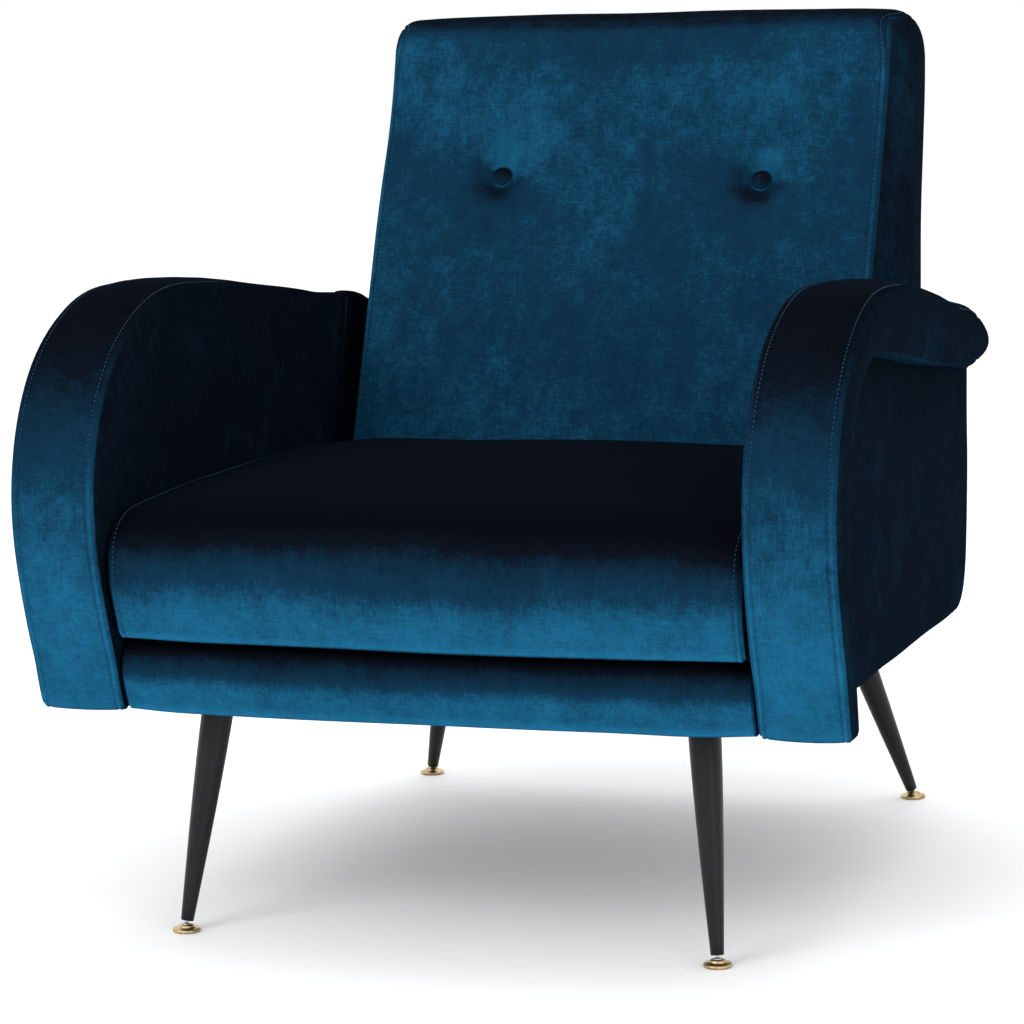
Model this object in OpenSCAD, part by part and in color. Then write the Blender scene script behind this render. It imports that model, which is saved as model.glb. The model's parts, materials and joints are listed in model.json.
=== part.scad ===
// Upholstered armchair with hook-shaped arms, a raked back and splayed tapered legs.
// Millimetres. +Z is up, the chair faces -Y, and the origin is on the floor under the middle of
// its outer box. Left and right are as seen from the front: left is -X, right is +X.
// Outlines are side views, given as [Y, Z] points.

/* [Overall] */
// Width over both arms
overall_w = 756; // [740:1:780]
// Depth from the front of the arms to the back panel
overall_d = 827; // [821:1:835]
// Height of the top of the back
overall_h = 832; // [828:1:836]

/* [Arms] */
// Width of one arm
arm_w = 81; // [78:1:84]
// How far the outer side panel sits behind the arm's outer face
panel_recess = 22; // [20:1:24]
// Height of the bottom of the arms and the front apron
skirt_z = 212; // [208:1:214]
// Radius of the rounded rear end of the armrest
nose_r = 34; // [32:0.5:35]

/* [Seat and back] */
// Half width of the back over its side gussets
back_half_w = 271.5; // [270.5:0.5:274]
// Half width of the seat cushion
seat_half_w = 291; // [285:1:294]
// Height of the underside of the seat cushion
seat_bottom_z = 276; // [275.5:0.5:278]
// Height of the back buttons
button_z = 661; // [655:1:670]
// Distance of each back button from the middle
button_x = 140; // [120:1:160]
// Radius of a back button
button_r = 11; // [9:0.5:12]

/* [Legs] */
// Where a front leg's glide stands: distance from the middle
front_foot_x = 252; // [245:1:260]
// Where a front leg's glide stands: depth
front_foot_y = -336; // [-345:1:-325]
// Where a rear leg's glide stands: distance from the middle
rear_foot_x = 270; // [260:1:275]
// Where a rear leg's glide stands: depth
rear_foot_y = 376; // [360:1:380]
// Radius of a leg's tip
leg_tip_r = 5.9; // [5.5:0.1:6]
// Radius of a leg at its top
leg_top_r = 15; // [13:0.5:16]
// Radius of a glide's disc
glide_r = 13; // [12:0.5:15]

/* [Hidden] */
$fn = 48;

skin = 1.5;                     // thickness of every cover
curve_steps = 9;                // points in one curved stretch of an outline
far = 900;                      // longer than anything it has to cut
velvet = [0.05, 0.24, 0.36];
foam_colour = [0.93, 0.88, 0.72];
wood_colour = [0.72, 0.56, 0.38];
steel_black = [0.07, 0.07, 0.08];
brass_colour = [0.72, 0.58, 0.30];
webbing_colour = [0.30, 0.27, 0.24];

// Levels across the chair
arm_out = overall_w / 2;
arm_in = arm_out - arm_w;
panel_out = arm_out - panel_recess;
ply_in = arm_in + 15;           // plywood arm board
ply_out = ply_in + 18;
block_out = arm_out - 16;       // hook-shaped block glued on the board
rail_out = arm_in - 2;
rail_in = rail_out - 23;
back_in = back_half_w - skin;   // outer face of a back side board
board_t = 18;

// Levels up the chair
rail_z0 = 217;
rail_z1 = 270;
panel_z = skirt_z + 18;         // bottom of the arm's board and side panel
block_z0 = 222;                 // underside of the corner blocks
block_z1 = 250;
strap_t = 1.5;
deck_z = rail_z1 + 2 * strap_t;

// Curves -------------------------------------------------------------------

// A cubic curve from a to d, without its last point
function curve(a, b, c, d, n = curve_steps) = [for (i = [0:n - 1]) let (t = i / n, u = 1 - t)
    u * u * u * a + 3 * u * u * t * b + 3 * u * t * t * c + t * t * t * d];
// An arc in the side view from angle a0 to a1, both ends included
function arc(centre, r, a0, a1, n) =
    [for (i = [0:n]) let (a = a0 + (a1 - a0) * i / n) centre + r * [cos(a), sin(a)]];
function reversed(p) = [for (i = [len(p) - 1:-1:0]) p[i]];
function unit(v) = v / norm(v);
// The direction of travel at point i of an open curve
function heading(p, i) = unit(p[min(i + 1, len(p) - 1)] - p[max(i - 1, 0)]);
// An open curve moved d to the right of its direction of travel
function shifted(p, d) = [for (i = [0:len(p) - 1]) let (h = heading(p, i)) p[i] + d * [h.y, -h.x]];
// The outline of a sheet of thickness d along the right of an open curve
function sheet(p, d) = concat(p, reversed(shifted(p, d)));

// Arm outlines ---------------------------------------------------------------

front_y = -overall_d / 2;
rear_y = overall_d / 2;
nose = [216, 510];
top_fall = 13;                  // slopes of the armrest where it meets the nose, in degrees
under_fall = 7;
nose_top = nose + nose_r * [sin(top_fall), cos(top_fall)];
nose_bottom = nose - nose_r * [sin(under_fall), cos(under_fall)];
arm_shoulder = [-209, 586];
// Up the front, over the shoulder and along the top
arm_top = concat(
    curve([-358, skirt_z], [-380, 262], [front_y, 330], [front_y, 400]),
    curve([front_y, 400], [front_y, 500], [-330, 582], arm_shoulder),
    curve(arm_shoulder, [-99, 591], nose_top - 110 * [cos(top_fall), -sin(top_fall)], nose_top));
// The side panel's rear, and the angle and height at which the rounded rear end meets it
panel_rear_y = 246;
nose_cut = -acos((panel_rear_y - nose.x) / nose_r);
nose_cut_z = nose.y + nose_r * sin(nose_cut);
// Up the front, over the top and round the rear end as far as the side panel
arm_over = concat(arm_top, arc(nose, nose_r, 90 - top_fall, nose_cut, 8));
// The same, and all the way round
nose_rest = arc(nose, nose_r, nose_cut, -90 - under_fall, 5);
hook_outer = concat(arm_over, [for (i = [1:len(nose_rest) - 1]) nose_rest[i]]);
underside_front = nose_bottom - 440 * [cos(under_fall), -sin(under_fall)];
// Up the back of the front limb, round the inner corner and along the underside
hook_inner = concat(
    curve([-323, skirt_z], [-332, 262], [-357, 310], [-357, 385]),
    curve([-357, 385], [-357, 480], [-305, 538], underside_front),
    [nose_bottom]);
inner_last = len(hook_inner) - 1;
// Outline of the hook, d inside its covers
function hook(d) =
    concat(shifted(hook_outer, d), [for (i = [inner_last - 1:-1:0]) shifted(hook_inner, -d)[i]]);
// The part of it that runs from the bottom of the front limb to the rear end
function hook_hollow(d) = concat(
    [for (i = [0:inner_last - 1]) shifted(hook_inner, -d)[i]],
    [shifted(hook_outer, d)[len(hook_outer) - 1]]);
// Outline of the block inside the hook
hook_core = concat(
    [[-343, 217]], [for (p = shifted(hook_outer, 14)) if (p.y > 225) p],
    reversed([for (p = shifted(hook_inner, -8)) if (p.y > 225) p]), [[-334, 217]]);
// Down the rear of the side panel and forward along its bottom to the front limb
panel_edge = concat(
    [[panel_rear_y, 340]],
    curve([panel_rear_y, 290], [panel_rear_y, 265], [216, panel_z], [190, panel_z], 6),
    [[190, panel_z], [-326, panel_z]]);
// All round the arm, seen from the side
arm_path = concat(arm_over, panel_edge);
// Area of the side panel: its top and front edges lie inside the hook
function panel_area(d) = concat(
    [[-366, 400], [-300, 540], [150, 500], [panel_rear_y - d, 493]], shifted(panel_edge, d));
arm_board = [
    [-345, 240], [-386, 330], [-388, 420], [-360, 490], [-300, 545], [150, 520], [232, 500],
    [232, 304], [180, 240]];
bolt_yz = [[-230, 256], [-60, 256], [105, 256]];
bolt_r = 4;

// Back outlines --------------------------------------------------------------

// Up the front face and over the top
back_front = concat(
    curve([103, seat_bottom_z], [151.6, 411], [204.6, 545], [264, 680]),
    curve([264, 680], [281.6, 720], [291.5, 760], [305, 805], 6),
    curve([305, 805], [309, 822], [322, overall_h], [340, overall_h], 7),
    [[340, overall_h], [374, overall_h]]);
// Down the rear face
back_z0 = 222;
rear_face = concat(
    curve([rear_y, 770], [rear_y, 720], [400, 640], [393, 540], 6), [[393, 540], [372, back_z0]]);
// The same, with the rounded top edge before it
back_rear = concat(
    [[374, overall_h]], curve([376, overall_h], [400, overall_h], [rear_y, 805], [rear_y, 770], 8),
    rear_face);
rear_board_t = 3;
board_front = [[150, seat_bottom_z], [350, 800]];
board_dir = unit(board_front[1] - board_front[0]);
board_out = [-board_dir.y, board_dir.x];    // forwards, square to the webbing
// A point on the back's webbing plane, s up from the seat and d in front of it
function on_webbing(s, d = 0) = board_front[0] + s * board_dir + d * board_out;
back_board = concat(
    [[128, back_z0]], reversed(shifted(rear_face, skin + rear_board_t)),
    [[398, 792], [376, 804], board_front[1], board_front[0]]);
corner_r = 30;                  // of the back, seen from the front

// Seat outlines --------------------------------------------------------------

seat_front = concat(
    curve([-382, seat_bottom_z], [-393, 310], [-409, 335], [-410, 362], 6),
    curve([-410, 362], [-411, 386], [-398, 394], [-372, 398], 6),
    curve([-372, 398], [-250, 412], [0, 414], [148, 402], 10));
seat_back = [[148, 402], [101, seat_bottom_z]];

// Buttons --------------------------------------------------------------------

button_tilt = 22.5;             // rake of the back where the buttons are
button_out = [-cos(button_tilt), sin(button_tilt)];
button_yz = [255.5, button_z];  // on the front face
twine_len = 42;

// Building blocks ------------------------------------------------------------

// A side-view outline made solid between two distances from the middle
module side_slab(outline, x0, x1) {
    translate([x0, 0, 0]) rotate([90, 0, 90]) linear_extrude(x1 - x0) polygon(outline);
}
// A right-hand piece, or its mirror image on the left
module hand(side) {
    if (side > 0) children();
    else mirror([1, 0, 0]) children();
}
module block(low, high) {
    translate(low) cube(high - low);
}
// A piece drawn along +Z, stood at p and pointing along v
module along(p, v) {
    translate(p) rotate([0, acos(v.z / norm(v)), atan2(v.y, v.x)]) children();
}
module arm_bolt_holes(r) {
    for (p = bolt_yz) translate([rail_in - 10, p.x, p.y]) rotate([0, 90, 0]) cylinder(r = r, h = 80);
}
// The back seen from the front: its rounded top corners, d inside the gussets' outer faces
module back_shape(d, crown) {
    half = back_half_w - d;
    flat = back_half_w - corner_r;
    arc_z = overall_h - corner_r;
    translate([0, far, 0]) rotate([90, 0, 0]) linear_extrude(far + 100)
        polygon(concat(
            [[-half, 0], [half, 0]], arc([flat, arc_z], corner_r - d, 0, 90, 10),
            [[flat, arc_z + corner_r - crown], [-flat, arc_z + corner_r - crown]],
            arc([-flat, arc_z], corner_r - d, 90, 180, 10)));
}
module round_top() {
    intersection() {
        children();
        back_shape(skin, 0);
    }
}
// A cylinder square to the back's front face at a button: from depth d0 behind it to d1
module at_button(side, r, d0, d1) {
    centre = [side * button_x, button_yz.x, button_yz.y];
    out = [0, button_out.x, button_out.y];
    along(centre + out * d0, out) cylinder(r = r, h = d1 - d0);
}

// Seat frame -----------------------------------------------------------------

front_rail_y = [-346, -318];
rear_rail_y = [328, 356];
side_rail_end = 228;
// Its lower rear corner is cut off, to stay behind the arm's
side_rail_outline = [
    [front_rail_y[1], rail_z0], [178, rail_z0], [side_rail_end, rail_z1 - 8], [side_rail_end, rail_z1],
    [front_rail_y[1], rail_z1]];

module front_rail() {
    color(wood_colour) block([-rail_out, front_rail_y[0], rail_z0], [rail_out, front_rail_y[1], rail_z1]);
}
module rear_rail() {
    half = back_in - board_t;
    color(wood_colour) block([-half, rear_rail_y[0], block_z0], [half, rear_rail_y[1], rail_z1]);
}
module side_rail(side) {
    color(wood_colour) hand(side) difference() {
        side_slab(side_rail_outline, rail_in, rail_out);
        arm_bolt_holes(bolt_r + 0.3);
    }
}

// Legs -----------------------------------------------------------------------

// One entry a leg: the glide's ball, then the leg's top
ball_z = 5;
leg_top_z = 219;
front_leg = [[front_foot_x, front_foot_y, ball_z], [229.5, -291.5, leg_top_z]];
rear_leg = [[rear_foot_x, rear_foot_y, ball_z], [210, 300, leg_top_z]];
leg_tip = 5;                    // distance of the leg's tip from the ball's centre
bore_r = 4.1;
bore_end = 34;
wall = 1.8;
plate = 64;                     // side of a square leg plate
plate_t = 3;
screw_pitch = 48;
// Corner blocks, as [low corner, high corner] on the right
front_block = [[183, front_rail_y[1], block_z0], [rail_in, -248, block_z1]];
rear_block = [[165, 262, block_z0], [back_in - board_t, rear_rail_y[0], block_z1]];

function leg_of(front) = front ? front_leg : rear_leg;
function plate_centre(front) = let (t = leg_of(front)[1]) [t.x, front ? -284 : 294, leg_top_z];
function screw_spots(front) = [for (i = [-1, 1], j = [-1, 1])
    plate_centre(front) + screw_pitch / 2 * [i, j, 0]];
function leg_axis(front) = let (l = leg_of(front)) l[1] - l[0];

module corner_blocks() {
    color(wood_colour) for (side = [-1, 1], front = [true, false]) hand(side) difference() {
        b = front ? front_block : rear_block;
        block(b[0], b[1]);
        for (p = screw_spots(front)) translate([p.x, p.y, block_z0 - 1]) cylinder(r = 2.1, h = 21);
    }
}
module leg_plates() {
    color(steel_black) for (side = [-1, 1], front = [true, false]) hand(side) difference() {
        c = plate_centre(front);
        block([c.x - plate / 2, c.y - plate / 2, leg_top_z],
              [c.x + plate / 2, c.y + plate / 2, leg_top_z + plate_t]);
        for (p = screw_spots(front)) translate([p.x, p.y, leg_top_z - 1]) cylinder(r = 2.4, h = plate_t + 2);
    }
}
module leg_screws() {
    color("silver") for (side = [-1, 1], front = [true, false]) hand(side)
        for (p = screw_spots(front)) {
            translate([p.x, p.y, leg_top_z - 1.6]) cylinder(r = 4.2, h = 1.6);
            translate([p.x, p.y, leg_top_z - 0.1]) cylinder(r = 2, h = 20);
        }
}
// Tapered tube: straight taper up from the tip, then nearly parallel at the top
leg_profile = concat(
    [[leg_tip_r, leg_tip]],
    curve([leg_tip_r + 1.5, 34], [leg_top_r - 3.6, 108], [leg_top_r - 0.6, 150], [leg_top_r, 200], 8),
    [[leg_top_r, 200], [leg_top_r, 260]]);
module leg(side, front) {
    inner = concat(
        [[0, bore_end]], [for (p = leg_profile) if (p.y >= bore_end) [p.x - wall, p.y]], [[0, 260]]);
    color(steel_black) hand(side) difference() {
        along(leg_of(front)[0], leg_axis(front)) rotate([0, 0, 90]) difference() {
            rotate_extrude() polygon(concat([[0, leg_tip]], leg_profile, [[0, 260]]));
            rotate_extrude() polygon(inner);
            cylinder(r = bore_r, h = bore_end + 1);
        }
        block([0, -far, leg_top_z], [far, far, leg_top_z + 100]);
    }
}
ball_r = 3.6;
socket_r = 3.9;
module glide_stem(side, front) {
    color("silver") hand(side) along(leg_of(front)[0], leg_axis(front)) {
        sphere(r = ball_r);
        cylinder(r = 1.6, h = 6);
        translate([0, 0, 5.5]) cylinder(r = bore_r - 0.1, h = 24);
    }
}
module glide_foot(side, front) {
    foot = leg_of(front)[0];
    color(brass_colour) hand(side) translate([foot.x, foot.y, 0]) difference() {
        rotate_extrude() polygon(concat(
            [[0, 0], [glide_r - 1.6, 0], [glide_r - 0.4, 0.7]],
            arc([glide_r - 1.7, 2.4], 1.7, -30, 75, 5),
            [[7.2, 4.9], [5.6, 6.6], [5.1, 7.1], [0, 7.1]]));
        translate([0, 0, ball_z]) sphere(r = socket_r);
    }
}

// Seat suspension and cushion --------------------------------------------------

strap_w = 52;
module seat_webbing_lengthwise() {
    color(webbing_colour) for (x = [-180:90:180])
        block([x - strap_w / 2, front_rail_y[0], rail_z1], [x + strap_w / 2, rear_rail_y[1], rail_z1 + strap_t]);
}
module seat_webbing_crosswise() {
    color(webbing_colour) for (y = [-270:85:70])
        block([-rail_out, y - strap_w / 2, rail_z1 + strap_t], [rail_out, y + strap_w / 2, deck_z]);
}
module seat_deck_cloth() {
    color([0.1, 0.1, 0.11]) block([-rail_out, front_rail_y[0], deck_z], [rail_out, 97, deck_z + 1]);
}
module dust_cover() {
    color([0.08, 0.08, 0.09]) difference() {
        translate([0, 0, rail_z0 - 1]) linear_extrude(1) polygon([
            [-rail_out, front_rail_y[0] + 2], [rail_out, front_rail_y[0] + 2], [rail_out, 178],
            [back_in - 1, 178], [back_in - 1, rear_rail_y[1] + 6], [1 - back_in, rear_rail_y[1] + 6],
            [1 - back_in, 178], [-rail_out, 178]]);
        for (side = [-1, 1], front = [true, false]) hand(side) {
            t = leg_of(front)[1] - leg_axis(front) * 3 / leg_axis(front).z;
            translate([t.x, t.y, rail_z0 - 2]) cylinder(r = leg_top_r + 2, h = 4);
        }
        for (side = [-1, 1], front = [true, false]) hand(side)
            for (p = screw_spots(front)) translate([p.x, p.y, rail_z0 - 2]) cylinder(r = 5, h = 4);
    }
}
module seat_foam() {
    color(foam_colour)
        side_slab(concat(shifted(seat_front, skin), reversed(shifted(reversed(seat_back), -skin))),
            -(seat_half_w - skin), seat_half_w - skin);
}
// Wraps the foam's front and top; the bottom is left open over the deck
module seat_cover() {
    color(velvet) side_slab(sheet(seat_front, skin), -(seat_half_w - skin), seat_half_w - skin);
}
module seat_side_panel(side) {
    color(velvet) hand(side) side_slab(concat(seat_front, seat_back), seat_half_w - skin, seat_half_w);
}
apron_front = concat([[-355, skirt_z]], curve([-368, 256], [-372, 266], [-370, 272], [-360, 272], 5),
    [[-360, 272], [front_rail_y[0], 272]]);
module apron_foam() {
    color(foam_colour) side_slab(
        concat(shifted(apron_front, skin), [[front_rail_y[0], skirt_z + 1]]), -rail_out, rail_out);
}
module apron_cover() {
    color(velvet) side_slab(sheet(apron_front, skin), -rail_out, rail_out);
}

// Arms -------------------------------------------------------------------------

module hook_block_shape() {
    side_slab(hook_core, ply_out, block_out);
}
module arm_frame_shape() {
    union() {
        side_slab(arm_board, ply_in, ply_out);
        hook_block_shape();
    }
}
module arm_frame(side) {
    color(wood_colour) hand(side) difference() {
        arm_frame_shape();
        arm_bolt_holes(bolt_r + 0.3);
    }
}
module arm_foam(side) {
    color(foam_colour) hand(side) {
        difference() {
            side_slab(shifted(arm_path, skin), arm_in + skin, ply_in);
            arm_bolt_holes(bolt_r + 0.8);
        }
        difference() {
            side_slab(shifted(arm_path, skin), ply_in, ply_out);
            side_slab(arm_board, ply_in - 1, ply_out + 1);
        }
    }
}
module hook_foam(side) {
    color(foam_colour) hand(side) difference() {
        side_slab(hook(skin), ply_out, arm_out - skin);
        side_slab(hook_core, ply_out - 1, block_out);
        block([ply_out - 1, panel_rear_y - skin, panel_z], [panel_out, rear_y, nose_cut_z]);
    }
}
// The strip up the front, over the arm and down the panel's free edge, then its outer part, which
// goes round the hook's rear end, and the strip into the recess
module arm_band(side) {
    color(velvet) hand(side) union() {
        side_slab(sheet(arm_path, skin), arm_in, panel_out);
        side_slab(sheet(hook_outer, skin), panel_out, arm_out);
        side_slab(concat(hook_hollow(0), reversed(hook_hollow(skin))), panel_out, arm_out);
    }
}
module arm_inner_cover(side) {
    color(velvet) hand(side) difference() {
        side_slab(shifted(arm_path, skin), arm_in, arm_in + skin);
        arm_bolt_holes(bolt_r + 0.8);
    }
}
module arm_outer_cover(side) {
    color(velvet) hand(side)
        side_slab(hook(skin), arm_out - skin, arm_out);
}
module side_pad(side) {
    color(foam_colour) hand(side) difference() {
        side_slab(panel_area(skin), ply_out, panel_out - skin);
        side_slab(hook(0), ply_out - 1, arm_out);
    }
}
module side_cover(side) {
    color(velvet) hand(side) difference() {
        side_slab(panel_area(skin), panel_out - skin, panel_out);
        side_slab(hook(0), ply_out, arm_out);
    }
}
module arm_bolts() {
    color("silver") for (side = [-1, 1]) hand(side) for (p = bolt_yz)
        translate([rail_in, p.x, p.y]) rotate([0, 90, 0]) {
            translate([0, 0, -3]) cylinder(r = 8, h = 3);
            translate([0, 0, -0.5]) cylinder(r = bolt_r, h = ply_out - rail_in - 4);
        }
}

// Back -------------------------------------------------------------------------

module back_board(side) {
    color(wood_colour) hand(side) side_slab(back_board, back_in - board_t, back_in);
}
back_inner = back_in - board_t;
module back_rails() {
    color(wood_colour) {
        block([-back_inner, 352, 768], [back_inner, 392, 794]);
        block([-back_inner, 216, 400], [back_inner, 240, 448]);
        block([-back_inner, 352, 560], [back_inner, 384, 600]);
        block([-back_inner, 172, rail_z1 + 8], [back_inner, 196, rail_z1 + 60]);
    }
}
strap_steps = [40, 125, 210, 295, 399, 490];
function strap_outline(s) = [
    on_webbing(s), on_webbing(s + strap_w), on_webbing(s + strap_w, strap_t), on_webbing(s, strap_t)];
module back_webbing() {
    color(webbing_colour) for (s = strap_steps) difference() {
        side_slab(strap_outline(s), -back_in, back_in);
        for (side = [-1, 1]) at_button(side, 2, -70, 0);
    }
}
pocket_depth = 12;
module back_foam() {
    color(foam_colour) difference() {
        round_top() side_slab(concat(
            shifted(back_front, skin),
            [for (p = shifted(back_rear, skin)) if (p.y > 800 && p.y < overall_h - 2) p],
            [[398, 792], [376, 804]],
            [board_front[1], on_webbing(560, strap_t), on_webbing(0, strap_t),
             [150 - strap_t, seat_bottom_z]]), -back_in, back_in);
        side_slab(back_board, -back_in, back_in);
        for (side = [-1, 1]) {
            at_button(side, button_r + 2.5, -pocket_depth, 20);
            at_button(side, 1.6, -80, 0);
        }
    }
}
module back_front_cover() {
    color(velvet) difference() {
        round_top() side_slab(sheet(back_front, skin), -back_in, back_in);
        for (side = [-1, 1]) at_button(side, button_r + 2.5, -pocket_depth, 20);
    }
}
back_side = concat(
    back_front, back_rear, [[side_rail_end + 4, back_z0], [side_rail_end + 4, seat_bottom_z]]);
module back_gusset(side) {
    color(velvet) hand(side) difference() {
        intersection() {
            side_slab(back_side, back_half_w - corner_r, back_half_w);
            back_shape(0, 0);
        }
        back_shape(skin, skin);
    }
}
module back_rear_board() {
    color([0.55, 0.42, 0.30]) round_top() side_slab(
        sheet(shifted(rear_face, skin), rear_board_t), -back_in, back_in);
}
module back_rear_cover() {
    color(velvet) round_top() side_slab(sheet(back_rear, skin), -back_in, back_in);
}
module back_buttons() {
    color(velvet) for (side = [-1, 1]) {
        centre = [side * button_x, button_yz.x, button_yz.y];
        out = [0, button_out.x, button_out.y];
        along(centre - out * (pocket_depth - 0.5), out) rotate_extrude() polygon(concat(
            [[0, 0], [button_r - 1.5, 0]],
            curve([button_r, 1.5], [button_r + 0.3, 5], [button_r - 4, 8], [0, 8.6], 8),
            [[0, 8.6]]));
    }
}
module button_twines() {
    color([0.85, 0.82, 0.75]) for (side = [-1, 1])
        at_button(side, 1, -pocket_depth - twine_len, -pocket_depth + 0.5);
}
module button_anchors() {
    color("silver") for (side = [-1, 1]) difference() {
        at_button(side, 9, -pocket_depth - twine_len + 2, -pocket_depth - twine_len + 4);
        at_button(side, 1.3, -pocket_depth - twine_len - 4, -pocket_depth);
    }
}

// Nodes --------------------------------------------------------------------------

front_rail();
rear_rail();
side_rail(-1);  // side_rail_left
side_rail(1);  // side_rail_right
corner_blocks();
seat_webbing_lengthwise();
seat_webbing_crosswise();
seat_deck_cloth();
dust_cover();
seat_foam();
seat_cover();
seat_side_panel(-1);  // seat_side_panel_left
seat_side_panel(1);  // seat_side_panel_right
apron_foam();
apron_cover();
arm_frame(-1);  // arm_frame_left
arm_frame(1);  // arm_frame_right
arm_foam(-1);  // arm_foam_left
arm_foam(1);  // arm_foam_right
hook_foam(-1);  // hook_foam_left
hook_foam(1);  // hook_foam_right
arm_band(-1);  // arm_band_left
arm_band(1);  // arm_band_right
arm_inner_cover(-1);  // arm_inner_cover_left
arm_inner_cover(1);  // arm_inner_cover_right
arm_outer_cover(-1);  // arm_outer_cover_left
arm_outer_cover(1);  // arm_outer_cover_right
side_pad(-1);  // side_pad_left
side_pad(1);  // side_pad_right
side_cover(-1);  // side_cover_left
side_cover(1);  // side_cover_right
arm_bolts();
back_board(-1);  // back_board_left
back_board(1);  // back_board_right
back_rails();
back_webbing();
back_foam();
back_front_cover();
back_gusset(-1);  // back_gusset_left
back_gusset(1);  // back_gusset_right
back_rear_board();
back_rear_cover();
back_buttons();
button_twines();
button_anchors();
leg(-1, true);  // leg_front_left
leg(1, true);  // leg_front_right
leg(-1, false);  // leg_rear_left
leg(1, false);  // leg_rear_right
leg_plates();
leg_screws();
glide_stem(-1, true);  // glide_stem_front_left
glide_stem(1, true);  // glide_stem_front_right
glide_stem(-1, false);  // glide_stem_rear_left
glide_stem(1, false);  // glide_stem_rear_right
glide_foot(-1, true);  // glide_foot_front_left
glide_foot(1, true);  // glide_foot_front_right
glide_foot(-1, false);  // glide_foot_rear_left
glide_foot(1, false);  // glide_foot_rear_right
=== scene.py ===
"""The looks of a velvet armchair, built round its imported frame. Metres, +Z up, the chair faces -Y."""
import json
import math

import bmesh
import bpy
import numpy as np
from mathutils import Matrix, Vector, noise
from mathutils.bvhtree import BVHTree
from mathutils.kdtree import KDTree
from mathutils.geometry import delaunay_2d_cdt


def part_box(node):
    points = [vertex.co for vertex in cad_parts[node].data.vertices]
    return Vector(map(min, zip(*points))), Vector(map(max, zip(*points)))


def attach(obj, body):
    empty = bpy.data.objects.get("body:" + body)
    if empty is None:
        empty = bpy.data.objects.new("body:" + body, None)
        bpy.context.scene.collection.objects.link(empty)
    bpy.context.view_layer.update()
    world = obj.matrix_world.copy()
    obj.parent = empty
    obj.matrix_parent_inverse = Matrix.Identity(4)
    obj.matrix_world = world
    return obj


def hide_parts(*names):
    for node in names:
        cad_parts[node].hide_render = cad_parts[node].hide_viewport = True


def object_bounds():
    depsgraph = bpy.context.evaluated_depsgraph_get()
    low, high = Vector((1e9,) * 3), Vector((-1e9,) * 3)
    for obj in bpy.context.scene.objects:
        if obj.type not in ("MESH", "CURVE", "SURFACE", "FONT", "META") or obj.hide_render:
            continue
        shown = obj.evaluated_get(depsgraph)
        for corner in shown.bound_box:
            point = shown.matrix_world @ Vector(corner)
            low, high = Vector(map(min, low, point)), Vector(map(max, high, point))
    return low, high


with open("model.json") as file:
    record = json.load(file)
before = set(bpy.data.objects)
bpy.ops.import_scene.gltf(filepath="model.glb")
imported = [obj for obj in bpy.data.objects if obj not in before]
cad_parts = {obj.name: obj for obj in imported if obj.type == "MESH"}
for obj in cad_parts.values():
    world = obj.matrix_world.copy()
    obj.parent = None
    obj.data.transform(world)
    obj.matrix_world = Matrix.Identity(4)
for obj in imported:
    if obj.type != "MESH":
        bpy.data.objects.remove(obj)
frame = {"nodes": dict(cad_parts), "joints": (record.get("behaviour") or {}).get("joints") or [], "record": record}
cad_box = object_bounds()

MM = 0.001
SIDES = {"left": -1, "right": 1}
GROOVE = 1.2 * MM           # depth of the valley at a seam
STEP = 5 * MM               # spacing of points along an outline
STITCH_IN = 4.4 * MM        # a topstitch's distance from its seam
PAINTED_SEAM_HIGHLIGHT_WIDTH = 1.5 * MM        # width of the painted highlight along a seam
VELVET_SEAM_R = 3 * MM      # rounding of the foam's edge beside a seam
CRISP = 0.5 * MM            # rounding of an edge with no padding
HEM_DROP = 4.5 * MM         # how far the arms' and apron's hems hang below the CAD skins
FLOOR_SIZE = 14


# Camera and light -----------------------------------------------------------------------------

CAMERA_PLACE = (1.0696, -3.2725, 0.8160)
CAMERA_YAW, CAMERA_PITCH, CAMERA_ROLL = 18.78, 7.72, -1.16      # degrees
CAMERA_LENS = 126.05


def make_camera():
    """The camera looks along +Y turned left by the yaw and down by the pitch."""
    a, p, r = (math.radians(v) for v in (CAMERA_YAW, CAMERA_PITCH, CAMERA_ROLL))
    ahead = Vector((-math.sin(a) * math.cos(p), math.cos(a) * math.cos(p), -math.sin(p)))
    level = Vector((math.cos(a), math.sin(a), 0))
    up = level.cross(ahead)
    right_axis = math.cos(r) * level + math.sin(r) * up
    up_axis = -math.sin(r) * level + math.cos(r) * up
    camera = bpy.data.objects.new("camera", bpy.data.cameras.new("camera"))
    camera.data.lens = CAMERA_LENS
    camera.data.sensor_width = 36
    turn = Matrix((right_axis, up_axis, -ahead)).transposed()
    camera.matrix_world = Matrix.Translation(CAMERA_PLACE) @ turn.to_4x4()
    bpy.context.scene.collection.objects.link(camera)
    bpy.context.scene.camera = camera


def area_light(name, place, target, size, power):
    light = bpy.data.lights.new(name, "AREA")
    light.shape = "RECTANGLE"
    light.size, light.size_y = size
    light.energy = power
    lamp = bpy.data.objects.new(name, light)
    lamp.location = place
    lamp.rotation_euler = (Vector(target) - Vector(place)).to_track_quat("-Z", "Y").to_euler()
    bpy.context.scene.collection.objects.link(lamp)


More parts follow.
